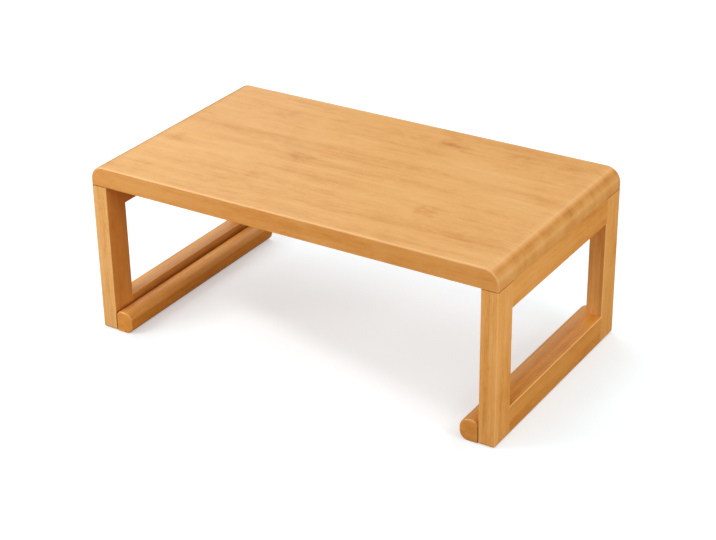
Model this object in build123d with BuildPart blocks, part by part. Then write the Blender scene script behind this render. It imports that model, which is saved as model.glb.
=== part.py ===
from build123d import *
import os

# Folding low table: a thick laminated bamboo top whose short ends roll over into
# two rectangular end frames. Each frame swings inward through 90 degrees on two
# butt hinges hidden behind its upper rail and lies flat under the top.
#
# Frame of reference: +X along the length, +Y towards the back, +Z up,
# origin on the floor under the centre of the table. All sizes in millimetres.

os.makedirs("parts", exist_ok=True)

# ---------------------------------------------------------------- dimensions
LENGTH = 600.0          # end to end, X
DEPTH = 336.0           # front to back, Y
HEIGHT = 240.5          # floor to top surface

TOP_T = 27.5            # thickness of the tabletop
END_R = 20.0            # large roundover along both short ends
EDGE_R = 2.4            # small roundover along front and back upper edges
UNDER_R = 0.3           # eased lower edges of the tabletop
UNDER = HEIGHT - TOP_T  # underside of the tabletop

POST_X = 23.0           # frame thickness, along the table
POST_Y = 38.0           # post width, across the table
UPPER_H = 37.0          # upper rail height
BOTTOM_H = 40.0         # bottom rail height
SEAT_GAP = 0.1          # upper rail to tabletop
POST_GAP = 1.1          # shadow gap over the post ends
OUTER_R = 2.2           # vertical outer corners of the frame
FLOOR_R = 4.0           # outer bottom edge of the frame
WINDOW_R = 1.5          # edges of the window in the frame

BAR_X = 26.0            # foot bar width
BAR_H = 31.0            # foot bar height
BAR_TOP_IN_R = 13.5     # foot bar, upper edge facing the middle of the table
BAR_LOW_IN_R = 12.0     # foot bar, lower edge facing the middle of the table
BAR_TOP_OUT_R = 9.5     # foot bar, upper edge beside the rail
BAR_LOW_OUT_R = 2.6     # foot bar, lower edge beside the rail
BAR_END_R = 2.2         # foot bar ends

AXIS_IN = 4.3           # hinge axis, inward of the frame's inner face
AXIS_DROP = 24.0        # hinge axis, below the tabletop
KNUCKLE_R = 4.0
PIN_R = 1.5
PIN_FIT = 0.05          # radial running clearance on the pin
LEAF_T = 2.0
LEAF_TALL = 19.0        # leaf height above the axis
HINGE_LEN = 50.0
HINGE_Y = 70.0          # hinge centres, front and back of the middle
KNUCKLE_MID = 25.4      # moving knuckle between two fixed ones
KNUCKLE_GAP = 0.3

BATTEN_X = 18.0
BATTEN_H = 22.0
BATTEN_LEN = 250.0

DOWEL_R = 4.0
DOWEL_LEN = 40.0
BAR_DOWEL_R = 3.0
BAR_DOWEL_LEN = 22.0
GLUE = 0.05             # radial room round dowels, screws and discs

MAGNET_R = 5.0
MAGNET_T = 4.0
STRIKE_T = 2.0
CATCH_Y = 100.0

BUMPER_R = 6.0
BUMPER_T = 2.0
BUMPER_Y = 120.0

# ---------------------------------------------------------- derived positions
X_OUT = LENGTH / 2                  # outer face of the right frame
X_IN = X_OUT - POST_X               # inner face of the right frame
X_MID = X_OUT - POST_X / 2
Y_FRONT = -DEPTH / 2
RAIL_HALF = DEPTH / 2 - POST_Y      # half the rail length
FRAME_TOP = UNDER - SEAT_GAP
UPPER_Z0 = FRAME_TOP - UPPER_H
X_AXIS = X_IN - AXIS_IN
Z_AXIS = UNDER - AXIS_DROP
X_BATTEN = X_AXIS - AXIS_IN         # outboard face of the right batten
BATTEN_XC = X_BATTEN - BATTEN_X / 2
BATTEN_SCREW_Y = 108.0
LEAF_SCREW_Z = Z_AXIS + 12.0
LEAF_SCREW_YS = (-HINGE_Y - 17.0, -HINGE_Y, -HINGE_Y + 17.0)
BAR_FLAT_Z = (BAR_LOW_IN_R + BAR_H - BAR_TOP_IN_R) / 2
BUMPER_X = X_AXIS - (Z_AXIS - BAR_FLAT_Z)   # where the folded foot bar lands
UPPER_DOWEL_ZS = (UPPER_Z0 + UPPER_H / 2 - 9.0, UPPER_Z0 + UPPER_H / 2 + 9.0)
BOTTOM_DOWEL_ZS = (BOTTOM_H / 2 - 9.0, BOTTOM_H / 2 + 9.0)
BAR_DOWEL_YS = (-90.0, 0.0, 90.0)
BAR_DOWEL_Z = 14.0


# ------------------------------------------------------------------- tabletop
# one laminated slab; both short ends roll over in a quarter round
with BuildPart() as tabletop:
    with BuildSketch(Plane.XZ) as top_section:
        with Locations((0, UNDER + TOP_T / 2)):
            Rectangle(LENGTH, TOP_T)
        fillet(top_section.vertices().group_by(Axis.Y)[-1], END_R)
    extrude(amount=DEPTH / 2, both=True)
    # small roundover that follows the front and back profile over the ends
    faces_fb = tabletop.faces().filter_by(Plane.XZ)
    rims = faces_fb.edges().filter_by(lambda e: e.center().Z > UNDER + 0.01)
    fillet(rims, EDGE_R)
    fillet(tabletop.edges().filter_by(lambda e: e.bounding_box().max.Z < UNDER + 0.01), UNDER_R)
    # pilot holes for the batten screws, from below
    with Locations(*[Plane((s * BATTEN_XC, y, UNDER), x_dir=(1, 0, 0), z_dir=(0, 0, -1))
                     for s in (-1, 1) for y in (-BATTEN_SCREW_Y, 0, BATTEN_SCREW_Y)]):
        Hole(radius=2.0 + GLUE, depth=14.0)
    # pockets for the catch magnets
    with Locations(*[Plane((s * X_MID, y, UNDER), x_dir=(1, 0, 0), z_dir=(0, 0, -1))
                     for s in (-1, 1) for y in (-CATCH_Y, CATCH_Y)]):
        Hole(radius=MAGNET_R + GLUE, depth=MAGNET_T + 0.1)

# ------------------------------------------------ right end frame, as one blank
# rectangular frame with a window; it is rounded as a whole and then divided
# into two full-height posts with two rails between them
with BuildPart() as frame_blank:
    with BuildSketch(Plane.YZ.offset(X_IN)):
        with Locations((0, FRAME_TOP / 2)):
            Rectangle(DEPTH, FRAME_TOP)
        with Locations((0, (BOTTOM_H + UPPER_Z0) / 2)):
            Rectangle(2 * RAIL_HALF, UPPER_Z0 - BOTTOM_H, mode=Mode.SUBTRACT)
    extrude(amount=POST_X)
    # posts stop short of the tabletop and leave a shadow gap
    with BuildSketch(Plane.YZ.offset(X_IN)):
        with Locations((-(DEPTH / 2 - POST_Y / 2), FRAME_TOP), (DEPTH / 2 - POST_Y / 2, FRAME_TOP)):
            Rectangle(POST_Y, 2 * (POST_GAP - SEAT_GAP))
    extrude(amount=POST_X, mode=Mode.SUBTRACT)
    verticals = frame_blank.edges().filter_by(Axis.Z)
    fillet(verticals.filter_by(lambda e: abs(e.center().Y) > DEPTH / 2 - 0.1
                               and e.center().X > X_OUT - 0.1), OUTER_R)
    fillet(frame_blank.edges().filter_by(Axis.Z).filter_by(
        lambda e: abs(e.center().Y) > DEPTH / 2 - 0.1 and e.center().X < X_IN + 0.1), 1.2)
    fillet(frame_blank.edges().filter_by(Axis.Y).filter_by(
        lambda e: e.center().Z < 0.1 and e.center().X > X_OUT - 0.1), FLOOR_R)
    window = frame_blank.edges().filter_by(
        lambda e: abs(e.center().Y) < RAIL_HALF + 0.1 and BOTTOM_H - 0.1 < e.center().Z < UPPER_Z0 + 0.1
        and (e.center().X > X_OUT - 0.1 or e.center().X < X_IN + 0.1))
    fillet(window, WINDOW_R)

# ----------------------------------------------------------- right end frame
with BuildPart() as front_post_right:
    add(frame_blank.part)
    split(bisect_by=Plane.XZ.offset(RAIL_HALF), keep=Keep.TOP)
    with Locations(*[Plane((X_MID, -RAIL_HALF, z), x_dir=(1, 0, 0), z_dir=(0, 1, 0))
                     for z in UPPER_DOWEL_ZS + BOTTOM_DOWEL_ZS]):
        Hole(radius=DOWEL_R + GLUE, depth=DOWEL_LEN / 2 + 0.5)

with BuildPart() as back_post_right:
    mirror(front_post_right.part, about=Plane.XZ)

with BuildPart() as upper_rail_right:
    add(frame_blank.part)
    split(bisect_by=Plane.XZ.offset(RAIL_HALF), keep=Keep.BOTTOM)
    split(bisect_by=Plane.XZ.offset(-RAIL_HALF), keep=Keep.TOP)
    split(bisect_by=Plane.XY.offset(HEIGHT / 2), keep=Keep.TOP)
    with Locations(*[Plane((X_MID, s * RAIL_HALF, z), x_dir=(1, 0, 0), z_dir=(0, s, 0))
                     for s in (-1, 1) for z in UPPER_DOWEL_ZS]):
        Hole(radius=DOWEL_R + GLUE, depth=DOWEL_LEN / 2 + 0.5)
    # strike discs let into the top
    with Locations(*[Plane((X_MID, y, FRAME_TOP)) for y in (-CATCH_Y, CATCH_Y)]):
        Hole(radius=MAGNET_R + GLUE, depth=STRIKE_T + 0.1)
    # pilot holes for the hinge screws, in the inner face
    with Locations(*[Plane((X_IN, s * y, LEAF_SCREW_Z), x_dir=(0, 1, 0), z_dir=(-1, 0, 0))
                     for s in (-1, 1) for y in LEAF_SCREW_YS]):
        Hole(radius=PIN_R + GLUE, depth=10.5)

with BuildPart() as bottom_rail_right:
    add(frame_blank.part)
    split(bisect_by=Plane.XZ.offset(RAIL_HALF), keep=Keep.BOTTOM)
    split(bisect_by=Plane.XZ.offset(-RAIL_HALF), keep=Keep.TOP)
    split(bisect_by=Plane.XY.offset(HEIGHT / 2), keep=Keep.BOTTOM)
    with Locations(*[Plane((X_MID, s * RAIL_HALF, z), x_dir=(1, 0, 0), z_dir=(0, s, 0))
                     for s in (-1, 1) for z in BOTTOM_DOWEL_ZS]):
        Hole(radius=DOWEL_R + GLUE, depth=DOWEL_LEN / 2 + 0.5)
    with Locations(*[Plane((X_IN, y, BAR_DOWEL_Z), x_dir=(0, 1, 0), z_dir=(-1, 0, 0))
                     for y in BAR_DOWEL_YS]):
        Hole(radius=BAR_DOWEL_R + GLUE, depth=BAR_DOWEL_LEN / 2 + 0.5)

# foot bar on the floor against the inner side of the bottom rail; its section
# is arched on top and rounded towards the middle of the table
with BuildPart() as foot_bar_right:
    with BuildSketch(Plane.XZ) as bar_section:
        with Locations((X_IN - BAR_X / 2, BAR_H / 2)):
            Rectangle(BAR_X, BAR_H)
        upper = bar_section.vertices().group_by(Axis.Y)[-1]
        fillet(upper.sort_by(Axis.X)[0], BAR_TOP_IN_R)
        upper = bar_section.vertices().group_by(Axis.Y)[-1]
        fillet(upper.sort_by(Axis.X)[-1], BAR_TOP_OUT_R)
        lower = bar_section.vertices().group_by(Axis.Y)[0]
        fillet(lower.sort_by(Axis.X)[0], BAR_LOW_IN_R)
        lower = bar_section.vertices().group_by(Axis.Y)[0]
        fillet(lower.sort_by(Axis.X)[-1], BAR_LOW_OUT_R)
    extrude(amount=DEPTH / 2, both=True)
    fillet(foot_bar_right.faces().filter_by(Plane.XZ).edges(), BAR_END_R)
    with Locations(*[Plane((X_IN, y, BAR_DOWEL_Z), x_dir=(0, 1, 0), z_dir=(1, 0, 0))
                     for y in BAR_DOWEL_YS]):
        Hole(radius=BAR_DOWEL_R + GLUE, depth=BAR_DOWEL_LEN / 2 + 0.5)

# eight dowels pin the rails to the posts
with BuildPart() as frame_dowels_right:
    with BuildSketch(Plane.XZ.offset(RAIL_HALF - DOWEL_LEN / 2)):
        with Locations(*[(X_MID, z) for z in UPPER_DOWEL_ZS + BOTTOM_DOWEL_ZS]):
            Circle(DOWEL_R)
    extrude(amount=DOWEL_LEN)
    chamfer(frame_dowels_right.edges().filter_by(GeomType.CIRCLE), 0.8)
    mirror(about=Plane.XZ)

# three dowels hold the foot bar to the bottom rail
with BuildPart() as foot_bar_dowels_right:
    with BuildSketch(Plane.YZ.offset(X_IN - BAR_DOWEL_LEN / 2)):
        with Locations(*[(y, BAR_DOWEL_Z) for y in BAR_DOWEL_YS]):
            Circle(BAR_DOWEL_R)
    extrude(amount=BAR_DOWEL_LEN)
    chamfer(foot_bar_dowels_right.edges().filter_by(GeomType.CIRCLE), 0.6)

# steel discs in the upper rail that the catch magnets hold
with BuildPart() as catch_strikes_right:
    with BuildSketch(Plane.XY.offset(FRAME_TOP - STRIKE_T - 0.05)):
        with Locations((X_MID, -CATCH_Y), (X_MID, CATCH_Y)):
            Circle(MAGNET_R)
    extrude(amount=STRIKE_T)
    chamfer(catch_strikes_right.edges().filter_by(GeomType.CIRCLE).group_by(Axis.Z)[-1], 0.3)

# ------------------------------------------------------------ right batten
# cleat under the top, inboard of the frame; it carries the hinges and keeps
# the panel flat
with BuildPart() as batten_right:
    with BuildSketch(Plane.XY.offset(UNDER - BATTEN_H)):
        with Locations((BATTEN_XC, 0)):
            Rectangle(BATTEN_X, BATTEN_LEN)
    extrude(amount=BATTEN_H)
    # ends sloped up towards the tabletop, lower edges eased
    chamfer(batten_right.edges().filter_by(Axis.X).group_by(Axis.Z)[0], 10.0)
    fillet(batten_right.edges().filter_by(Axis.Y).group_by(Axis.Z)[0], 1.2)
    with Locations(*[Plane((BATTEN_XC, y, UNDER - BATTEN_H), x_dir=(1, 0, 0), z_dir=(0, 0, -1))
                     for y in (-BATTEN_SCREW_Y, 0, BATTEN_SCREW_Y)]):
        CounterSinkHole(radius=2.0 + GLUE, counter_sink_radius=4.0 + GLUE,
                        counter_sink_angle=90)
    with Locations(*[Plane((X_BATTEN, s * y, LEAF_SCREW_Z), x_dir=(0, 1, 0), z_dir=(1, 0, 0))
                     for s in (-1, 1) for y in LEAF_SCREW_YS]):
        Hole(radius=PIN_R + GLUE, depth=10.5)

# countersunk wood screws through the battens into the tabletop
with BuildPart() as batten_screws:
    with BuildSketch(Plane.XZ) as screw_section:
        with BuildLine():
            Polyline((BATTEN_XC, UNDER - BATTEN_H), (BATTEN_XC + 4.0, UNDER - BATTEN_H),
                     (BATTEN_XC + 2.0, UNDER - BATTEN_H + 2.0),
                     (BATTEN_XC + 2.0, UNDER - BATTEN_H + 32.0), (BATTEN_XC, UNDER - BATTEN_H + 35.0),
                     close=True)
        make_face()
    revolve(axis=Axis((BATTEN_XC, 0, 0), (0, 0, 1)))
    # cross recess in the head
    with BuildSketch(Plane.XY.offset(UNDER - BATTEN_H)):
        with Locations((BATTEN_XC, 0)):
            Rectangle(4.4, 0.9)
            Rectangle(0.9, 4.4)
    extrude(amount=1.4, mode=Mode.SUBTRACT)
    one_screw = batten_screws.part
    add(one_screw.moved(Location((0, BATTEN_SCREW_Y, 0))))
    add(one_screw.moved(Location((0, -BATTEN_SCREW_Y, 0))))
    mirror(about=Plane.YZ)

# ------------------------------------------------------------- right hinges
# fixed leaf: on the batten, with the two outer knuckles
with BuildPart() as hinge_fixed_leaves_right:
    with BuildSketch(Plane.XZ.offset(HINGE_Y - HINGE_LEN / 2)):
        with Locations((X_AXIS - AXIS_IN + LEAF_T / 2, Z_AXIS + LEAF_TALL / 2)):
            Rectangle(LEAF_T, LEAF_TALL)
        with Locations((X_AXIS, Z_AXIS)):
            Circle(KNUCKLE_R)
            Circle(PIN_R + 0.01, mode=Mode.SUBTRACT)
    extrude(amount=HINGE_LEN)
    with BuildSketch(Plane.XZ.offset(HINGE_Y - KNUCKLE_MID / 2 - KNUCKLE_GAP)):
        with Locations((X_AXIS, Z_AXIS)):
            Rectangle(2 * KNUCKLE_R + 2, 2 * KNUCKLE_R + 0.8)
    extrude(amount=KNUCKLE_MID + 2 * KNUCKLE_GAP, mode=Mode.SUBTRACT)
    fillet(hinge_fixed_leaves_right.edges().filter_by(Axis.X).group_by(Axis.Z)[-1], 2.5)
    with Locations(*[Plane((X_AXIS - AXIS_IN + LEAF_T, y, LEAF_SCREW_Z), x_dir=(0, 1, 0), z_dir=(1, 0, 0))
                     for y in LEAF_SCREW_YS]):
        CounterSinkHole(radius=PIN_R + GLUE, counter_sink_radius=3.0 + GLUE, depth=LEAF_T,
                        counter_sink_angle=90)
    mirror(about=Plane.XZ)

# moving leaf: on the upper rail, with the middle knuckle
with BuildPart() as hinge_moving_leaves_right:
    with BuildSketch(Plane.XZ.offset(HINGE_Y - HINGE_LEN / 2)):
        with Locations((X_AXIS + AXIS_IN - LEAF_T / 2, Z_AXIS + LEAF_TALL / 2)):
            Rectangle(LEAF_T, LEAF_TALL)
    extrude(amount=HINGE_LEN)
    # notches round the fixed knuckles
    with BuildSketch(Plane.XZ.offset(HINGE_Y - HINGE_LEN / 2)):
        with Locations((X_AXIS, Z_AXIS)):
            Rectangle(2 * AXIS_IN + 1, 2 * KNUCKLE_R + 0.8)
    extrude(amount=(HINGE_LEN - KNUCKLE_MID) / 2, mode=Mode.SUBTRACT)
    with BuildSketch(Plane.XZ.offset(HINGE_Y + KNUCKLE_MID / 2)):
        with Locations((X_AXIS, Z_AXIS)):
            Rectangle(2 * AXIS_IN + 1, 2 * KNUCKLE_R + 0.8)
    extrude(amount=(HINGE_LEN - KNUCKLE_MID) / 2, mode=Mode.SUBTRACT)
    with BuildSketch(Plane.XZ.offset(HINGE_Y - KNUCKLE_MID / 2)):
        with Locations((X_AXIS, Z_AXIS)):
            Circle(KNUCKLE_R)
    extrude(amount=KNUCKLE_MID)
    with BuildSketch(Plane.XZ.offset(HINGE_Y - KNUCKLE_MID / 2)):
        with Locations((X_AXIS, Z_AXIS)):
            Circle(PIN_R + PIN_FIT)
    extrude(amount=KNUCKLE_MID, mode=Mode.SUBTRACT)
    fillet(hinge_moving_leaves_right.edges().filter_by(Axis.X).group_by(Axis.Z)[-1], 2.5)
    with Locations(*[Plane((X_AXIS + AXIS_IN - LEAF_T, y, LEAF_SCREW_Z), x_dir=(0, 1, 0), z_dir=(-1, 0, 0))
                     for y in LEAF_SCREW_YS]):
        CounterSinkHole(radius=PIN_R + GLUE, counter_sink_radius=3.0 + GLUE, depth=LEAF_T,
                        counter_sink_angle=90)
    mirror(about=Plane.XZ)

# hinge pins, held in the fixed knuckles, with domed heads past both ends
with BuildPart() as hinge_pins_right:
    with BuildSketch(Plane.XZ.offset(HINGE_Y - HINGE_LEN / 2 - 1.0)):
        with Locations((X_AXIS, Z_AXIS)):
            Circle(PIN_R)
    extrude(amount=HINGE_LEN + 2.0)
    with BuildSketch(Plane.XZ.offset(HINGE_Y - HINGE_LEN / 2 - 1.2)):
        with Locations((X_AXIS, Z_AXIS)):
            Circle(2.6)
    extrude(amount=1.2)
    with BuildSketch(Plane.XZ.offset(HINGE_Y + HINGE_LEN / 2)):
        with Locations((X_AXIS, Z_AXIS)):
            Circle(2.6)
    extrude(amount=1.2)
    fillet(hinge_pins_right.edges().filter_by(GeomType.CIRCLE).group_by(Axis.Y)[0], 0.8)
    fillet(hinge_pins_right.edges().filter_by(GeomType.CIRCLE).group_by(Axis.Y)[-1], 0.8)
    mirror(about=Plane.XZ)

# hinge screws into the batten
with BuildPart() as hinge_batten_screws_right:
    x_head = X_AXIS - AXIS_IN + LEAF_T
    with BuildSketch(Plane.XZ.offset(HINGE_Y)):
        with BuildLine():
            Polyline((x_head, LEAF_SCREW_Z), (x_head, LEAF_SCREW_Z + 3.0),
                     (x_head - 1.5, LEAF_SCREW_Z + 1.5), (x_head - 10.0, LEAF_SCREW_Z + 1.5), (x_head - 12.0, LEAF_SCREW_Z), close=True)
        make_face()
    revolve(axis=Axis((x_head, 0, LEAF_SCREW_Z), (1, 0, 0)).located(Location((0, -HINGE_Y, 0))))
    with BuildSketch(Plane.YZ.offset(x_head)):
        with Locations((-HINGE_Y, LEAF_SCREW_Z)):
            Rectangle(3.4, 0.7)
            Rectangle(0.7, 3.4)
    extrude(amount=-1.0, mode=Mode.SUBTRACT)
    one_screw = hinge_batten_screws_right.part
    add(one_screw.moved(Location((0, 17.0, 0))))
    add(one_screw.moved(Location((0, -17.0, 0))))
    mirror(about=Plane.XZ)

# hinge screws into the upper rail
with BuildPart() as hinge_rail_screws_right:
    mirror(hinge_batten_screws_right.part, about=Plane.YZ.offset(X_AXIS))

# ------------------------------------------------------ loose hardware on top
with BuildPart() as catch_magnets:
    with BuildSketch(Plane.XY.offset(UNDER + 0.05)):
        with Locations(*[(s * X_MID, y) for s in (-1, 1) for y in (-CATCH_Y, CATCH_Y)]):
            Circle(MAGNET_R)
    extrude(amount=MAGNET_T)
    chamfer(catch_magnets.edges().filter_by(GeomType.CIRCLE).group_by(Axis.Z)[0], 0.3)

# soft pads that the folded foot bars rest against
with BuildPart() as fold_bumpers:
    with BuildSketch(Plane.XY.offset(UNDER)):
        with Locations(*[(s * BUMPER_X, y) for s in (-1, 1) for y in (-BUMPER_Y, BUMPER_Y)]):
            Circle(BUMPER_R)
    extrude(amount=-BUMPER_T)
    fillet(fold_bumpers.edges().filter_by(GeomType.CIRCLE).group_by(Axis.Z)[0], 1.0)

# ------------------------------------------------------------------ left side
with BuildPart() as front_post_left:
    mirror(front_post_right.part, about=Plane.YZ)
with BuildPart() as back_post_left:
    mirror(back_post_right.part, about=Plane.YZ)
with BuildPart() as upper_rail_left:
    mirror(upper_rail_right.part, about=Plane.YZ)
with BuildPart() as bottom_rail_left:
    mirror(bottom_rail_right.part, about=Plane.YZ)
with BuildPart() as foot_bar_left:
    mirror(foot_bar_right.part, about=Plane.YZ)
with BuildPart() as frame_dowels_left:
    mirror(frame_dowels_right.part, about=Plane.YZ)
with BuildPart() as foot_bar_dowels_left:
    mirror(foot_bar_dowels_right.part, about=Plane.YZ)
with BuildPart() as catch_strikes_left:
    mirror(catch_strikes_right.part, about=Plane.YZ)
with BuildPart() as batten_left:
    mirror(batten_right.part, about=Plane.YZ)
with BuildPart() as hinge_fixed_leaves_left:
    mirror(hinge_fixed_leaves_right.part, about=Plane.YZ)
with BuildPart() as hinge_moving_leaves_left:
    mirror(hinge_moving_leaves_right.part, about=Plane.YZ)
with BuildPart() as hinge_pins_left:
    mirror(hinge_pins_right.part, about=Plane.YZ)
with BuildPart() as hinge_batten_screws_left:
    mirror(hinge_batten_screws_right.part, about=Plane.YZ)
with BuildPart() as hinge_rail_screws_left:
    mirror(hinge_rail_screws_right.part, about=Plane.YZ)

# --------------------------------------------------------------------- export
tabletop.part.label = "tabletop"
export_step(tabletop.part, "parts/tabletop.step")
batten_left.part.label = "batten_left"
export_step(batten_left.part, "parts/batten_left.step")
batten_right.part.label = "batten_right"
export_step(batten_right.part, "parts/batten_right.step")
batten_screws.part.label = "batten_screws"
export_step(batten_screws.part, "parts/batten_screws.step")
catch_magnets.part.label = "catch_magnets"
export_step(catch_magnets.part, "parts/catch_magnets.step")
fold_bumpers.part.label = "fold_bumpers"
export_step(fold_bumpers.part, "parts/fold_bumpers.step")

hinge_fixed_leaves_left.part.label = "hinge_fixed_leaves_left"
export_step(hinge_fixed_leaves_left.part, "parts/hinge_fixed_leaves_left.step")
hinge_fixed_leaves_right.part.label = "hinge_fixed_leaves_right"
export_step(hinge_fixed_leaves_right.part, "parts/hinge_fixed_leaves_right.step")
hinge_moving_leaves_left.part.label = "hinge_moving_leaves_left"
export_step(hinge_moving_leaves_left.part, "parts/hinge_moving_leaves_left.step")
hinge_moving_leaves_right.part.label = "hinge_moving_leaves_right"
export_step(hinge_moving_leaves_right.part, "parts/hinge_moving_leaves_right.step")
hinge_pins_left.part.label = "hinge_pins_left"
export_step(hinge_pins_left.part, "parts/hinge_pins_left.step")
hinge_pins_right.part.label = "hinge_pins_right"
export_step(hinge_pins_right.part, "parts/hinge_pins_right.step")
hinge_batten_screws_left.part.label = "hinge_batten_screws_left"
export_step(hinge_batten_screws_left.part, "parts/hinge_batten_screws_left.step")
hinge_batten_screws_right.part.label = "hinge_batten_screws_right"
export_step(hinge_batten_screws_right.part, "parts/hinge_batten_screws_right.step")
hinge_rail_screws_left.part.label = "hinge_rail_screws_left"
export_step(hinge_rail_screws_left.part, "parts/hinge_rail_screws_left.step")
hinge_rail_screws_right.part.label = "hinge_rail_screws_right"
export_step(hinge_rail_screws_right.part, "parts/hinge_rail_screws_right.step")

front_post_left.part.label = "front_post_left"
export_step(front_post_left.part, "parts/front_post_left.step")
front_post_right.part.label = "front_post_right"
export_step(front_post_right.part, "parts/front_post_right.step")
back_post_left.part.label = "back_post_left"
export_step(back_post_left.part, "parts/back_post_left.step")
back_post_right.part.label = "back_post_right"
export_step(back_post_right.part, "parts/back_post_right.step")
upper_rail_left.part.label = "upper_rail_left"
export_step(upper_rail_left.part, "parts/upper_rail_left.step")
upper_rail_right.part.label = "upper_rail_right"
export_step(upper_rail_right.part, "parts/upper_rail_right.step")
bottom_rail_left.part.label = "bottom_rail_left"
export_step(bottom_rail_left.part, "parts/bottom_rail_left.step")
bottom_rail_right.part.label = "bottom_rail_right"
export_step(bottom_rail_right.part, "parts/bottom_rail_right.step")
foot_bar_left.part.label = "foot_bar_left"
export_step(foot_bar_left.part, "parts/foot_bar_left.step")
foot_bar_right.part.label = "foot_bar_right"
export_step(foot_bar_right.part, "parts/foot_bar_right.step")
frame_dowels_left.part.label = "frame_dowels_left"
export_step(frame_dowels_left.part, "parts/frame_dowels_left.step")
frame_dowels_right.part.label = "frame_dowels_right"
export_step(frame_dowels_right.part, "parts/frame_dowels_right.step")
foot_bar_dowels_left.part.label = "foot_bar_dowels_left"
export_step(foot_bar_dowels_left.part, "parts/foot_bar_dowels_left.step")
foot_bar_dowels_right.part.label = "foot_bar_dowels_right"
export_step(foot_bar_dowels_right.part, "parts/foot_bar_dowels_right.step")
catch_strikes_left.part.label = "catch_strikes_left"
export_step(catch_strikes_left.part, "parts/catch_strikes_left.step")
catch_strikes_right.part.label = "catch_strikes_right"
export_step(catch_strikes_right.part, "parts/catch_strikes_right.step")
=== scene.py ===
import math

import bpy
from mathutils import Matrix, Vector

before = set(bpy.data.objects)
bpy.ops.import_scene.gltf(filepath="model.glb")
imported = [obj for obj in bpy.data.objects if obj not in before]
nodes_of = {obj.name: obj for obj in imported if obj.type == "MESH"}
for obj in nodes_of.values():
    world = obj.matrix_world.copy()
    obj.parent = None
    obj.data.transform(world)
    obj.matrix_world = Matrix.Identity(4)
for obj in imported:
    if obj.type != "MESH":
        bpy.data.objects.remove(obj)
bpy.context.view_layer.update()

scene = bpy.context.scene

# =====================================================================
# camera: the long side of the table runs to the right and away; it is
# placed by its matrix in the row frame, with no shift
# =====================================================================
cam_data = bpy.data.cameras.new("camera")
cam_data.type = "PERSP"
cam_data.sensor_fit = "HORIZONTAL"
cam_data.sensor_width = 36.0
cam_data.lens = 36.0 * 1800.0 / 716.0
cam_data.clip_start = 0.05
cam_data.clip_end = 60.0
camera = bpy.data.objects.new("camera", cam_data)
scene.collection.objects.link(camera)
camera.matrix_world = Matrix((
    (0.849567, -0.232259, 0.473593, 1.136631),
    (0.527310, 0.396733, -0.751363, -1.797422),
    (-0.013379, 0.888065, 0.459524, 1.189986),
    (0.0, 0.0, 0.0, 1.0)))
scene.camera = camera

scene.view_settings.view_transform = "Standard"
scene.view_settings.look = "None"
scene.view_settings.exposure = 0.0
scene.view_settings.gamma = 1.0


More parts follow.
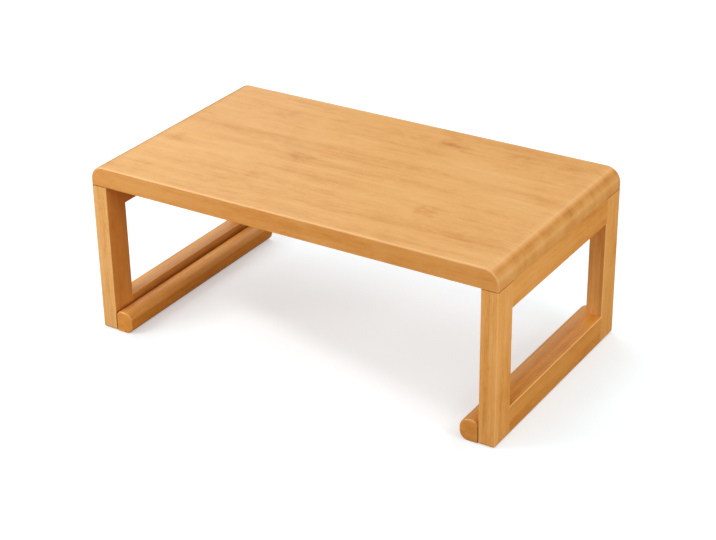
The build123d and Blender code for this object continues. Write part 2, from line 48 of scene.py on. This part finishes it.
# =====================================================================
# a small writer for shader trees
# =====================================================================
class Tree:
    def __init__(self, name):
        self.mat = bpy.data.materials.new(name)
        self.mat.use_nodes = True
        self.t = self.mat.node_tree
        self.t.nodes.clear()
        self.out = self.t.nodes.new("ShaderNodeOutputMaterial")
        self.x = 0

    def put(self, kind, **props):
        n = self.t.nodes.new(kind)
        self.x += 40
        n.location = (self.x, -(self.x % 600))
        for k, v in props.items():
            setattr(n, k, v)
        return n

    def feed(self, socket, value):
        if value is None:
            return
        if isinstance(value, bpy.types.NodeSocket):
            self.t.links.new(value, socket)
        else:
            socket.default_value = value

    def m(self, op, a, b=None, c=None, clamp=False):
        n = self.put("ShaderNodeMath", operation=op, use_clamp=clamp)
        self.feed(n.inputs[0], a)
        self.feed(n.inputs[1], b)
        self.feed(n.inputs[2], c)
        return n.outputs[0]

    def add(self, a, b):
        return self.m("ADD", a, b)

    def sub(self, a, b):
        return self.m("SUBTRACT", a, b)

    def mul(self, a, b):
        return self.m("MULTIPLY", a, b)

    def vec(self, x=0.0, y=0.0, z=0.0):
        n = self.put("ShaderNodeCombineXYZ")
        for s, v in zip(n.inputs, (x, y, z)):
            self.feed(s, v)
        return n.outputs[0]

    def split(self, v):
        n = self.put("ShaderNodeSeparateXYZ")
        self.feed(n.inputs[0], v)
        return n.outputs[0], n.outputs[1], n.outputs[2]

    def vm(self, op, a, b=None, scale=None):
        n = self.put("ShaderNodeVectorMath", operation=op)
        self.feed(n.inputs[0], a)
        self.feed(n.inputs[1], b)
        if scale is not None:
            self.feed(n.inputs["Scale"], scale)
        return n.outputs[0]

    def span(self, v, a, b, lo=0.0, hi=1.0, smooth=False):
        n = self.put("ShaderNodeMapRange")
        n.interpolation_type = "SMOOTHSTEP" if smooth else "LINEAR"
        n.clamp = True
        self.feed(n.inputs["Value"], v)
        for k, x in (("From Min", a), ("From Max", b), ("To Min", lo), ("To Max", hi)):
            self.feed(n.inputs[k], x)
        return n.outputs["Result"]

    def noise(self, v, scale=1.0, detail=2.0, rough=0.5, distortion=0.0):
        n = self.put("ShaderNodeTexNoise", noise_dimensions="3D")
        self.feed(n.inputs["Vector"], v)
        n.inputs["Scale"].default_value = scale
        n.inputs["Detail"].default_value = detail
        n.inputs["Roughness"].default_value = rough
        n.inputs["Distortion"].default_value = distortion
        return n.outputs["Fac"]

    def white(self, v):
        n = self.put("ShaderNodeTexWhiteNoise", noise_dimensions="3D")
        self.feed(n.inputs["Vector"], v)
        return n.outputs["Value"]

    def mix(self, fac, a, b, blend="MIX"):
        n = self.put("ShaderNodeMix", data_type="RGBA", blend_type=blend)
        n.clamp_factor = True
        self.feed(n.inputs["Factor"], fac)
        self.feed(n.inputs["A"] if False else n.inputs[6], a)
        self.feed(n.inputs[7], b)
        return n.outputs[2]

    def ramp(self, fac, stops, interp="LINEAR"):
        n = self.put("ShaderNodeValToRGB")
        r = n.color_ramp
        r.interpolation = interp
        while len(r.elements) < len(stops):
            r.elements.new(0.5)
        for e, (p, c) in zip(r.elements, stops):
            e.position = p
            e.color = (*c, 1.0)
        self.feed(n.inputs[0], fac)
        return n.outputs[0]

    def bump(self, height, strength, distance, normal=None):
        n = self.put("ShaderNodeBump")
        n.inputs["Strength"].default_value = strength
        n.inputs["Distance"].default_value = distance
        self.feed(n.inputs["Height"], height)
        self.feed(n.inputs["Normal"], normal)
        return n.outputs[0]

    def principled(self, **sockets):
        n = self.put("ShaderNodeBsdfPrincipled")
        for k, v in sockets.items():
            self.feed(n.inputs[k.replace("_", " ")], v)
        self.t.links.new(n.outputs[0], self.out.inputs[0])
        return n


def srgb(r, g, b):
    def lin(c):
        c /= 255.0
        return c / 12.92 if c <= 0.04045 else ((c + 0.055) / 1.055) ** 2.4
    return (lin(r), lin(g), lin(b))


# =====================================================================
# laminated bamboo under satin lacquer
# =====================================================================
def bamboo(name, grain, wide, strip=0.024, layer=0.005, seed=0.0, tone=(1.0, 1.0, 1.0),
           marks=(), streaks=(), period=0.31, node_strength=0.10,
           weights=(0.44, 0.34, 0.26, 0.20, 0.46), cells=0.14, seam=0.22, rough=0.42,
           ends=True, cut_mix=0.35, edge=0.5, roll=None, painted_side_light=None, grit=0.12, fleck=0.10,
           painted_crease_shade=None, painted_top_highlight=0.0, painted_joint_shade=None, lift=0.0, painted_core_shade=None, painted_side_fade=None, rub_and_highlight_colour=(250, 206, 148), shade=None):
    """grain and wide are axes 0, 1 or 2: fibres run along grain, and the broad
    faces of the strips lie across wide. The third axis stacks the layers.
    roll: the height of the face whose grain bends over the rounded ends.
    painted_side_light: factor on the colour of the faces that look along wide, a painted light or painted shade on
    those faces, and painted_side_fade: how that factor grows from one end of the piece to the other, a painted
    gradient of light.
    painted_core_shade: factor on the faces that show the edges of the layers, painted shade.
    lift: how far the stack of layers is moved up.
    rub_and_highlight_colour: colour of the rubbed edges, which also carries a painted highlight.
    shade: axis, from, to, strength of the painted shade on the inner part of the broad faces.
    grit and fleck: short strokes and single fibre bundles in the grain.
    painted_crease_shade: axis, sign, upper and lower height, strength of the painted shade on the face that looks
    that way, down in the corner beside the foot bar.
    painted_top_highlight: how much lighter the upward-facing rounding is painted, a painted highlight.
    painted_joint_shade: nearest and farthest |X|, height and strength of the painted shade line where the foot bar
    stands against the frame."""
    T = Tree(name)
    tc = T.put("ShaderNodeTexCoord")
    P = T.split(tc.outputs["Object"])
    NN = T.split(tc.outputs["Normal"])
    thick = 3 - grain - wide
    u, v, w = P[grain], P[wide], P[thick]
    if lift:
        w = T.sub(w, lift)
    nu = T.m("ABSOLUTE", NN[grain])
    if roll is not None:
        bent = T.span(nu, 0.02, 0.22)
        w = T.m("MULTIPLY_ADD", T.sub(roll - lift, w), bent, w)

    # strips are not perfectly straight
    sway = T.noise(T.vec(T.mul(u, 2.3), T.mul(v, 5.0), T.add(T.mul(w, 5.0), seed)), 1.0, 1.0)
    v = T.add(v, T.mul(T.sub(sway, 0.5), 0.0030))

    # which strip of which layer this is
    wi = T.m("FLOOR", T.m("DIVIDE", T.add(w, 0.0013), layer))
    shift = T.white(T.vec(wi, seed, 3.7))
    vc = T.add(T.m("DIVIDE", v, strip), T.mul(shift, 0.35))
    vi = T.m("FLOOR", vc)
    vf = T.sub(vc, vi)
    cell = T.white(T.vec(vi, wi, seed + 0.31))
    cell2 = T.white(T.vec(vi, wi, seed + 7.77))
    cell3 = T.white(T.vec(vi, wi, seed + 13.1))

    # fibres: every strip has its own pattern, of long and short strokes
    uo = T.add(u, T.mul(cell, 9.0))
    wander = T.noise(T.vec(T.mul(uo, 8.0), T.mul(v, 22.0), T.mul(w, 22.0)), 1.0, 2.0)
    vv = T.add(v, T.mul(T.sub(wander, 0.5), 0.013))
    broad = T.noise(T.vec(T.mul(u, 4.5), T.mul(vv, 48.0), T.add(T.mul(w, 48.0), seed * 1.7)), 1.0, 2.0, 0.5)
    band = T.noise(T.vec(T.mul(uo, 12.0), T.mul(vv, 185.0), T.add(T.mul(w, 185.0), seed)), 1.0, 3.0, 0.55)
    mottle = T.noise(T.vec(T.mul(uo, 38.0), T.mul(vv, 95.0), T.add(T.mul(w, 95.0), seed * 2.3)), 1.0, 2.0, 0.55)
    fine = T.noise(T.vec(T.mul(uo, 46.0), T.mul(vv, 900.0), T.add(T.mul(w, 900.0), seed)), 1.0, 2.0, 0.6)
    short = T.noise(T.vec(T.mul(uo, 150.0), T.mul(vv, 430.0), T.add(T.mul(w, 430.0), seed * 3.1)), 1.0, 1.0, 0.5)
    bundle = T.noise(T.vec(T.mul(uo, 190.0), T.mul(vv, 1700.0), T.add(T.mul(w, 1700.0), seed)), 1.0, 1.0, 0.5)
    cloud = T.noise(T.vec(T.mul(u, 6.0), T.mul(v, 10.0), T.add(T.mul(w, 10.0), seed * 0.37)), 1.0, 2.0, 0.5)

    tone_value = T.mul(T.sub(cell, 0.5), cells)
    for layer_noise, weight in zip((broad, band, mottle, fine, cloud), weights):
        tone_value = T.m("MULTIPLY_ADD", T.sub(layer_noise, 0.5), weight, tone_value)
    tone_value = T.m("MULTIPLY_ADD", T.sub(short, 0.5), grit, tone_value)
    tone_value = T.sub(tone_value, T.span(bundle, 0.60, 0.74, 0.0, fleck))
    if roll is not None:
        blotch = T.noise(T.vec(T.mul(u, 40.0), T.mul(v, 34.0), T.mul(P[thick], 46.0)), 1.0, 2.0, 0.5)
        tone_value = T.mul(tone_value, T.span(nu, 0.22, 0.50, 1.0, 0.70))
        tone_value = T.m("MULTIPLY_ADD", T.sub(blotch, 0.5), T.span(nu, 0.45, 0.95, 0.15, 0.75), tone_value)

    # growth nodes: a soft speckled patch across the strip, once in every period
    speck = T.noise(T.vec(T.mul(u, 64.0), T.mul(v, 84.0), T.mul(w, 84.0)), 1.0, 2.0, 0.5)
    patchy = T.m("MULTIPLY_ADD", T.m("MAXIMUM", T.sub(speck, 0.40), 0.0), 3.0, 0.42)
    ragged = T.mul(T.sub(band, 0.5), 0.014)
    pos = T.add(T.m("DIVIDE", u, period), cell2)
    du = T.add(T.mul(T.sub(T.m("FRACT", pos), 0.5), period), ragged)
    a = T.m("POWER", T.m("ABSOLUTE", T.m("DIVIDE", du, 0.012)), 3.0)
    inside = T.mul(T.span(vf, 0.0, 0.2, smooth=True), T.span(vf, 1.0, 0.8, smooth=True))
    knot = T.mul(T.m("POWER", 2.718, T.mul(a, -1.0)), T.mul(inside, T.span(cell3, 0.3, 1.0, 0.0, node_strength)))
    for (mu, mv, lu, lv, s) in marks:
        a = T.m("POWER", T.m("ABSOLUTE", T.m("DIVIDE", T.add(T.sub(u, mu), ragged), lu)), 3.0)
        b = T.m("POWER", T.m("ABSOLUTE", T.m("DIVIDE", T.sub(v, mv), lv)), 3.0)
        knot = T.m("MULTIPLY_ADD", T.m("POWER", 2.718, T.mul(T.add(a, b), -1.0)), s, knot)
    knot = T.mul(knot, patchy)
    # a few long dark fibres
    for (mu, mv, lu, lv, s) in streaks:
        a = T.m("DIVIDE", T.sub(u, mu), lu)
        b = T.m("DIVIDE", T.add(T.sub(v, mv), T.mul(T.sub(wander, 0.5), 0.010)), lv)
        r2 = T.m("MULTIPLY_ADD", a, a, T.mul(b, b))
        knot = T.m("MULTIPLY_ADD", T.m("POWER", 2.718, T.mul(r2, -1.0)), T.mul(T.add(0.5, band), s), knot)

    # painted shade and painted highlight on the round end: a darker band, then a paler band, set by how far the
    # surface has turned from the top
    if roll is not None:
        dark = T.m("DIVIDE", T.sub(nu, 0.69), 0.15)
        pale = T.m("DIVIDE", T.sub(nu, 0.94), 0.05)
        dark = T.mul(T.m("POWER", 2.718, T.mul(T.mul(dark, dark), -1.0)), 0.27)
        pale = T.mul(T.m("POWER", 2.718, T.mul(T.mul(pale, pale), -1.0)), 0.26)
        tone_value = T.add(tone_value, T.mul(T.sub(pale, dark), T.add(0.65, T.mul(mottle, 0.7))))

    value = T.m("SUBTRACT", T.add(tone_value, 0.5), knot, clamp=True)
    colour = T.ramp(value, [
        (0.00, srgb(182 * tone[0], 106 * tone[1], 34 * tone[2])),
        (0.28, srgb(222 * tone[0], 150 * tone[1], 64 * tone[2])),
        (0.50, srgb(236 * tone[0], 169 * tone[1], 87 * tone[2])),
        (0.74, srgb(243 * tone[0], 182 * tone[1], 103 * tone[2])),
        (1.00, srgb(248 * tone[0], 195 * tone[1], 123 * tone[2]))])

    # painted light and shade: the faces that look along wide get their own colour factor, which grows along the piece
    if painted_side_light is not None:
        facing = T.span(T.m("ABSOLUTE", NN[wide]), 0.75, 0.98)
        colour = T.mix(facing, colour, (*painted_side_light, 1.0), "MULTIPLY")
        if painted_side_fade is not None:
            grow = T.span(u, -0.3, 0.3, painted_side_fade[0], painted_side_fade[1])
            colour = T.mix(facing, colour, T.vec(grow, grow, grow), "MULTIPLY")
        # painted shade: darker towards the inner edge of those faces
        if shade is not None:
            deeper = T.span(P[shade[0]], shade[1], shade[2], 0.0, shade[3], smooth=True)
            colour = T.mix(T.mul(facing, deeper), colour, (*srgb(158, 88, 34), 1.0))
    # painted shade on the faces that show the layer edges
    if painted_core_shade is not None:
        core = T.span(T.m("ABSOLUTE", NN[thick]), 0.75, 0.98)
        colour = T.mix(core, colour, (*painted_core_shade, 1.0), "MULTIPLY")

    # painted highlight on the upward-facing rounding
    if painted_top_highlight:
        up = T.mul(T.span(NN[Z], 0.55, 0.97, smooth=True), T.add(0.6, T.mul(band, 0.8)))
        colour = T.mix(T.mul(up, painted_top_highlight), colour, (*srgb(252, 192, 112), 1.0))
    # painted shade down in the corner beside the foot bar
    if painted_crease_shade is not None:
        axis, sign, top, low, strength = painted_crease_shade
        inward = T.span(T.mul(NN[axis], sign), 0.2, 0.8)
        deep = T.span(P[Z], top, low, 0.0, strength)
        colour = T.mix(T.mul(inward, deep), colour, (*srgb(92, 44, 12), 1.0))

    # glue lines between strips and layers
    glue_v = T.span(T.m("ABSOLUTE", T.sub(vf, 0.5)), 0.5 - 0.0003 / strip, 0.5, smooth=True)
    wf = T.m("FRACT", T.m("DIVIDE", T.add(w, 0.0013), layer))
    glue_w = T.span(T.m("ABSOLUTE", T.sub(wf, 0.5)), 0.5 - 0.00025 / layer, 0.5, smooth=True)
    glue = T.m("MAXIMUM", glue_v, glue_w)
    if roll is not None:
        glue = T.mul(glue, T.span(nu, 0.15, 0.5, 1.0, 0.35))
    colour = T.mix(T.mul(glue, seam), colour, (*srgb(150, 92, 40), 1.0))

    # cut ends: fibre bundles show as dots, and the lacquer sinks in
    if ends:
        dots = T.noise(T.vec(T.mul(u, 60.0), T.mul(v, 1500.0), T.mul(w, 1500.0)), 1.0, 1.0, 0.6)
        cut = T.span(nu, 0.25, 0.9, smooth=True)
        endcol = T.mix(T.span(dots, 0.42, 0.62), (*srgb(226 * tone[0], 160 * tone[1], 92 * tone[2]), 1.0),
                       (*srgb(186 * tone[0], 120 * tone[1], 60 * tone[2]), 1.0))
        endcol = T.mix(T.mul(T.sub(cell, 0.2), 0.5), endcol, (*srgb(240, 178, 108), 1.0))
        colour = T.mix(T.mul(cut, cut_mix), colour, endcol)

    # rounded edges are lighter: partly rubbed lacquer, partly a painted highlight, and on the round end a painted
    # highlight line near its top
    if roll is not None:
        across = T.m("ABSOLUTE", NN[wide])
        rim = T.mul(T.span(across, 0.12, 0.45, smooth=True), T.span(across, 0.998, 0.90, smooth=True))
        # painted highlight line near the top of the round end
        painted_crest_highlight = T.m("DIVIDE", T.sub(nu, 0.38), 0.09)
        painted_crest_highlight = T.m("POWER", 2.718, T.mul(T.mul(painted_crest_highlight, painted_crest_highlight), -1.0))
        painted_crest_highlight = T.mul(painted_crest_highlight, T.span(NN[thick], 0.6, 0.8))
        rim = T.m("MAXIMUM", rim, T.mul(painted_crest_highlight, 0.6))
    else:
        sharp = [T.m("ABSOLUTE", c) for c in NN]
        flat = T.m("MAXIMUM", T.m("MAXIMUM", sharp[0], sharp[1]), sharp[2])
        rim = T.span(flat, 0.993, 0.90, smooth=True)
    # the edge colour is partly rubbed lacquer and partly a painted highlight
    wear_and_highlight = T.mul(rim, T.add(0.62, T.mul(band, 0.76)))
    colour = T.mix(T.mul(wear_and_highlight, edge), colour, (*srgb(*rub_and_highlight_colour), 1.0))

    # painted shade: a dark line where the foot bar stands against the frame
    if painted_joint_shade is not None:
        x0, x1, top, strength = painted_joint_shade
        ax = T.m("ABSOLUTE", P[X])
        line = T.mul(T.span(ax, x0 - 0.0006, x0 + 0.0002, smooth=True), T.span(ax, x1 + 0.0006, x1 - 0.0002, smooth=True))
        line = T.mul(line, T.span(P[Z], top + 0.001, top - 0.009, 0.0, strength))
        colour = T.mix(line, colour, (*srgb(84, 40, 10), 1.0))

    height = T.add(T.mul(fine, 0.6), T.mul(band, 0.8))
    height = T.sub(height, T.mul(glue, 0.8))
    normal = T.bump(height, 0.20, 0.00012)

    roughness = T.add(rough, T.mul(T.sub(band, 0.5), 0.16))
    roughness = T.add(roughness, T.mul(T.sub(fine, 0.5), 0.10))
    p = T.principled(Base_Color=colour, Roughness=roughness, Normal=normal)
    p.inputs["IOR"].default_value = 1.5
    p.inputs["Specular IOR Level"].default_value = 0.30
    p.inputs["Coat Weight"].default_value = 0.45
    p.inputs["Coat Roughness"].default_value = 0.20
    p.inputs["Coat IOR"].default_value = 1.5
    return T.mat


# =====================================================================
# metals and rubber
# =====================================================================
def steel(name, base, along, rough=0.34, lines=2600.0, seed=0.0):
    """Plated steel with fine lines along one axis."""
    T = Tree(name)
    tc = T.put("ShaderNodeTexCoord")
    P = T.split(tc.outputs["Object"])
    q = [T.mul(P[i], 40.0 if i == along else lines) for i in range(3)]
    brushed = T.noise(T.vec(*q), 1.0, 2.0, 0.6)
    stain = T.noise(T.vec(*[T.mul(P[i], 130.0) for i in range(3)]), 1.0, 3.0, 0.6)
    value = T.add(T.mul(brushed, 0.55), T.mul(stain, 0.6))
    colour = T.ramp(value, [
        (0.25, tuple(c * 0.62 for c in base)),
        (0.55, base),
        (0.85, tuple(min(1.0, c * 1.18) for c in base))])
    roughness = T.add(T.span(stain, 0.3, 0.75, rough - 0.06, rough + 0.16), T.mul(brushed, 0.06))
    normal = T.bump(brushed, 0.25, 0.00003)
    p = T.principled(Base_Color=colour, Roughness=roughness, Normal=normal)
    p.inputs["Metallic"].default_value = 1.0
    return T.mat


def turned(name, base, cx, cy, rough=0.3, plated=False):
    """Discs turned on a lathe: rings about each centre at +-cx, +-cy."""
    T = Tree(name)
    tc = T.put("ShaderNodeTexCoord")
    P = T.split(tc.outputs["Object"])
    a = T.sub(T.m("ABSOLUTE", P[0]), cx)
    b = T.sub(T.m("ABSOLUTE", P[1]), cy)
    r = T.m("SQRT", T.add(T.mul(a, a), T.mul(b, b)))
    rings = T.noise(T.vec(T.mul(r, 5200.0), T.mul(P[2], 300.0), 0.0), 1.0, 2.0, 0.5)
    smear = T.noise(T.vec(T.mul(P[0], 260.0), T.mul(P[1], 260.0), T.mul(P[2], 260.0)), 1.0, 3.0, 0.55)
    colour = T.ramp(T.add(T.mul(rings, 0.4), T.mul(smear, 0.6)), [
        (0.25, tuple(c * 0.7 for c in base)), (0.6, base),
        (0.9, tuple(min(1.0, c * 1.1) for c in base))])
    roughness = T.span(smear, 0.3, 0.7, rough - 0.08, rough + 0.12)
    normal = T.bump(rings, 0.12 if plated else 0.3, 0.00003)
    p = T.principled(Base_Color=colour, Roughness=roughness, Normal=normal)
    p.inputs["Metallic"].default_value = 1.0
    return T.mat


def rubber(name):
    T = Tree(name)
    tc = T.put("ShaderNodeTexCoord")
    grain = T.noise(tc.outputs["Object"], 2400.0, 3.0, 0.6)
    dust = T.noise(tc.outputs["Object"], 210.0, 3.0, 0.6)
    colour = T.ramp(T.add(T.mul(grain, 0.4), T.mul(dust, 0.6)), [
        (0.3, (0.020, 0.017, 0.015)), (0.55, (0.034, 0.029, 0.026)), (0.8, (0.075, 0.066, 0.058))])
    roughness = T.span(dust, 0.3, 0.7, 0.62, 0.84)
    normal = T.bump(grain, 0.35, 0.00006)
    p = T.principled(Base_Color=colour, Roughness=roughness, Normal=normal)
    return T.mat


X, Y, Z = 0, 1, 2
top_marks = (
    # along X, along Y, half lengths, strength
    (-0.076, -0.013, 0.018, 0.0145, 0.24),
    (0.146, -0.070, 0.015, 0.0150, 0.25),
    (0.080, 0.122, 0.022, 0.0130, 0.22),
    (0.176, 0.126, 0.020, 0.0120, 0.17),
    (-0.176, 0.100, 0.018, 0.0145, 0.17),
    (-0.257, -0.037, 0.015, 0.0145, 0.20),
    (-0.245, -0.130, 0.016, 0.0130, 0.16),
    (-0.102, -0.082, 0.016, 0.0120, 0.10),
)
top_streaks = (
    (0.100, -0.008, 0.045, 0.0035, 0.10),
    (0.035, 0.072, 0.038, 0.0035, 0.10),
    (0.235, 0.076, 0.045, 0.0045, 0.09),
    (-0.020, -0.079, 0.075, 0.0035, 0.07),
    (-0.190, -0.057, 0.050, 0.0035, 0.06),
)
leg = dict(weights=(0.44, 0.44, 0.30, 0.58, 0.62), cells=0.26, seam=0.34, grit=0.20, fleck=0.16, rub_and_highlight_colour=(255, 201, 121))
frame_edge_rub_and_highlight = 0.88              # how pale the edges of the frames are: rubbed lacquer plus a painted highlight
mats = {
    # the tabletop's front and back faces carry painted shade and a painted gradient of light
    "tabletop": bamboo("bamboo_top", X, Y, layer=0.0083, marks=top_marks, streaks=top_streaks, seed=1.0,
                       node_strength=0.0, cells=0.08, tone=(0.975, 1.0, 1.05), edge=0.35, roll=0.2405, lift=0.0025, cut_mix=0.15,
                       painted_side_light=(0.975, 0.955, 0.985), painted_side_fade=(0.93, 1.08), grit=0.16, fleck=0.10),
}
tones = {
    "front_post_left": (0.985, 0.975, 0.94), "front_post_right": (1.04, 1.09, 1.20),
    "back_post_left": (0.985, 0.983, 0.95), "back_post_right": (1.015, 1.045, 1.10),
    "upper_rail_left": (0.985, 0.983, 0.94), "upper_rail_right": (1.0, 1.0, 0.97),
    "bottom_rail_left": (1.0, 0.98, 0.90), "bottom_rail_right": (0.97, 0.95, 0.88),
    "foot_bar_left": (1.0, 0.96, 0.79), "foot_bar_right": (1.03, 1.02, 0.93),
    "batten_left": (0.99, 0.98, 0.95), "batten_right": (0.99, 0.98, 0.95),
}
for s, k in (("left", 0.0), ("right", 20.0)):
    # the left front post: painted light on its front face and painted shade on its inner faces; all posts get a
    # painted shade line where the foot bar meets them
    front = (1.02, 1.29, 2.20) if s == "left" else None
    inner = (0.985, 0.86, 0.70) if s == "left" else None
    mats["front_post_" + s] = bamboo("bamboo_front_post_" + s, Z, Y, strip=0.019, layer=0.0058, seed=3.0 + k, tone=tones["front_post_" + s], painted_side_light=front, painted_core_shade=inner, edge=frame_edge_rub_and_highlight,
                                      painted_joint_shade=(0.2765, 0.2775, 0.031, 0.55), **leg)
    mats["back_post_" + s] = bamboo("bamboo_back_post_" + s, Z, Y, strip=0.019, layer=0.0058, seed=4.0 + k, tone=tones["back_post_" + s], edge=frame_edge_rub_and_highlight,
                                     painted_joint_shade=(0.2765, 0.2775, 0.031, 0.55), **leg)
    mats["upper_rail_" + s] = bamboo("bamboo_upper_rail_" + s, Y, Z, strip=0.0185, layer=0.0058, seed=5.0 + k, tone=tones["upper_rail_" + s], edge=frame_edge_rub_and_highlight, **leg)
    # painted shade in the corner beside the foot bar, and painted light and shade on the rail tops
    mats["bottom_rail_" + s] = bamboo("bamboo_bottom_rail_" + s, Y, Z, strip=0.020, layer=0.0058, seed=6.0 + k, tone=tones["bottom_rail_" + s], edge=frame_edge_rub_and_highlight,
                                      painted_crease_shade=(X, 1.0 if s == "left" else -1.0, 0.040, 0.022, 0.55),
                                      painted_side_light=(0.98, 1.01, 1.03) if s == "left" else (0.96, 0.88, 0.59),
                                      painted_side_fade=None if s == "left" else (0.85, 1.24),
                                      shade=(X, -0.296, -0.280, 0.45) if s == "left" else None, **leg)
    # painted highlight on the top of the foot bar, painted shade where it meets the frame
    mats["foot_bar_" + s] = bamboo("bamboo_foot_bar_" + s, Y, X, strip=0.0125, layer=0.007, seed=7.0 + k, tone=tones["foot_bar_" + s], edge=0.22, painted_top_highlight=0.12 if s == "left" else 0.35, cut_mix=0.6,
                                    painted_joint_shade=(0.2762, 0.2775, 0.031, 0.60), **leg)
    mats["batten_" + s] = bamboo("bamboo_batten_" + s, Y, X, strip=0.018, layer=0.0055, seed=8.0 + k, tone=tones["batten_" + s], rough=0.55, **leg)
    mats["frame_dowels_" + s] = bamboo("dowel_frame_" + s, Y, Z, strip=0.05, layer=0.05, seed=9.0 + k, tone=(1.0, 1.05, 1.2), rough=0.6, node_strength=0.0)
    mats["foot_bar_dowels_" + s] = bamboo("dowel_foot_" + s, X, Z, strip=0.05, layer=0.05, seed=10.0 + k, tone=(1.0, 1.05, 1.2), rough=0.6, node_strength=0.0)

leaf = steel("zinc_leaf", (0.60, 0.585, 0.545), Y)
pin = steel("drawn_pin", (0.52, 0.52, 0.51), Y, rough=0.26)
screw = steel("zinc_screw", (0.58, 0.56, 0.50), Z, rough=0.32, lines=900.0)
strike = turned("turned_strike", (0.50, 0.50, 0.50), 0.2885, 0.100, rough=0.36)
magnet = turned("nickel_magnet", (0.66, 0.65, 0.62), 0.2885, 0.100, rough=0.18, plated=True)
soft = rubber("soft_rubber")
for s in ("left", "right"):
    mats["hinge_fixed_leaves_" + s] = leaf
    mats["hinge_moving_leaves_" + s] = leaf
    mats["hinge_pins_" + s] = pin
    mats["hinge_batten_screws_" + s] = screw
    mats["hinge_rail_screws_" + s] = screw
    mats["catch_strikes_" + s] = strike
mats["batten_screws"] = screw
mats["catch_magnets"] = magnet
mats["fold_bumpers"] = soft

for n, o in nodes_of.items():
    for slot_ in o.material_slots:
        slot_.material = mats[n]

# =====================================================================
# pale floor and soft studio light
# =====================================================================
def floor_disc(radius, segments=96):
    me = bpy.data.meshes.new("floor")
    ring = [(radius * math.cos(2 * math.pi * i / segments), radius * math.sin(2 * math.pi * i / segments), -0.0002)
            for i in range(segments)]
    me.from_pydata(ring, [], [tuple(range(segments))])
    me.update()
    o = bpy.data.objects.new("floor", me)
    scene.collection.objects.link(o)
    return o


floor = floor_disc(20.0)
# matt white paper: it lifts its own shadows for the eye, and throws little
# light back up at the table
F = Tree("pale_floor")
paper = F.put("ShaderNodeBsdfDiffuse")
paper.inputs["Color"].default_value = (0.680, 0.760, 0.790, 1.0)
lift = F.put("ShaderNodeEmission")
lift.inputs["Color"].default_value = (1.0, 1.0, 1.0, 1.0)
# bare paper round the table, and no visible end to it further off
place = F.split(F.put("ShaderNodeTexCoord").outputs["Object"])
away = F.m("SQRT", F.add(F.mul(place[0], place[0]), F.mul(place[1], place[1])))
base = F.span(away, 1.0, 2.4, 0.41, 1.0, smooth=True)
# painted light on the floor: extra glow that pales the shadow under the front edge
slant = F.m("MULTIPLY_ADD", place[0], 0.25, place[1])
painted_front_light = F.mul(F.span(slant, -0.035, -0.100, 0.0, 0.17, smooth=True),
                    F.mul(F.span(place[0], -0.240, -0.150, smooth=True), F.span(place[0], 0.262, 0.210, smooth=True)))
F.feed(lift.inputs["Strength"], F.add(base, painted_front_light))
both = F.put("ShaderNodeAddShader")
F.t.links.new(paper.outputs[0], both.inputs[0])
F.t.links.new(lift.outputs[0], both.inputs[1])
dim = F.put("ShaderNodeBsdfDiffuse")
dim.inputs["Color"].default_value = (0.42, 0.25, 0.11, 1.0)
seen = F.put("ShaderNodeLightPath")
pick = F.put("ShaderNodeMixShader")
F.t.links.new(seen.outputs["Is Camera Ray"], pick.inputs[0])
F.t.links.new(dim.outputs[0], pick.inputs[1])
F.t.links.new(both.outputs[0], pick.inputs[2])
F.t.links.new(pick.outputs[0], F.out.inputs[0])
floor.data.materials.append(F.mat)

# overcast studio: bright overhead, dim at the horizon, white behind
world = bpy.data.worlds.new("studio")
scene.world = world
world.use_nodes = True
wt = world.node_tree
wt.nodes.clear()
w_out = wt.nodes.new("ShaderNodeOutputWorld")
w_bg = wt.nodes.new("ShaderNodeBackground")
w_tc = wt.nodes.new("ShaderNodeTexCoord")
w_sep = wt.nodes.new("ShaderNodeSeparateXYZ")
w_map = wt.nodes.new("ShaderNodeMapRange")
w_lp = wt.nodes.new("ShaderNodeLightPath")
w_max = wt.nodes.new("ShaderNodeMath")
w_max.operation = "MAXIMUM"
w_map.inputs["From Min"].default_value = 0.0
w_map.inputs["From Max"].default_value = 1.0
w_map.inputs["To Min"].default_value = 0.0
w_map.inputs["To Max"].default_value = 1.11
wt.links.new(w_tc.outputs["Generated"], w_sep.inputs[0])
wt.links.new(w_sep.outputs["Z"], w_map.inputs["Value"])
wt.links.new(w_map.outputs["Result"], w_max.inputs[0])
w_white = wt.nodes.new("ShaderNodeMath")
w_white.operation = "MULTIPLY"
w_white.inputs[1].default_value = 1.3
wt.links.new(w_lp.outputs["Is Camera Ray"], w_white.inputs[0])
wt.links.new(w_white.outputs[0], w_max.inputs[1])
wt.links.new(w_max.outputs[0], w_bg.inputs["Strength"])
wt.links.new(w_bg.outputs[0], w_out.inputs[0])


def softbox(name, at, look, size, power, colour=(1.0, 1.0, 1.0)):
    d = bpy.data.lights.new(name, "AREA")
    d.shape = "RECTANGLE"
    d.size, d.size_y = size
    d.energy = power
    d.color = colour
    o = bpy.data.objects.new(name, d)
    scene.collection.objects.link(o)
    o.location = at
    o.rotation_mode = "QUATERNION"
    o.rotation_quaternion = (Vector(look) - Vector(at)).to_track_quat("-Z", "Y")
    return o


softbox("key_above_left", (-0.9, 0.6, 2.2), (0.0, 0.0, 0.15), (1.6, 1.6), 15.5)
softbox("sheen_back_left", (-1.9, 1.7, 1.2), (-0.1, 0.0, 0.2), (1.3, 0.9), 2.0)
softbox("edge_strip_back", (-0.2, 1.95, 1.70), (0.0, 0.0, 0.2), (1.5, 0.35), 1.6)
softbox("fill_front_left", (-0.9, -2.4, 1.0), (0.0, 0.0, 0.12), (1.2, 1.2), 3.7)
softbox("near_front_left", (-1.0, -1.1, 0.6), (-0.2, 0.0, 0.12), (0.7, 0.7), 10.0)
softbox("front_high", (0.2, -2.2, 1.9), (0.0, 0.0, 0.12), (1.4, 1.0), 3.1)
softbox("fill_right", (2.6, -0.4, 1.0), (0.0, 0.0, 0.12), (1.2, 1.2), 27.0)
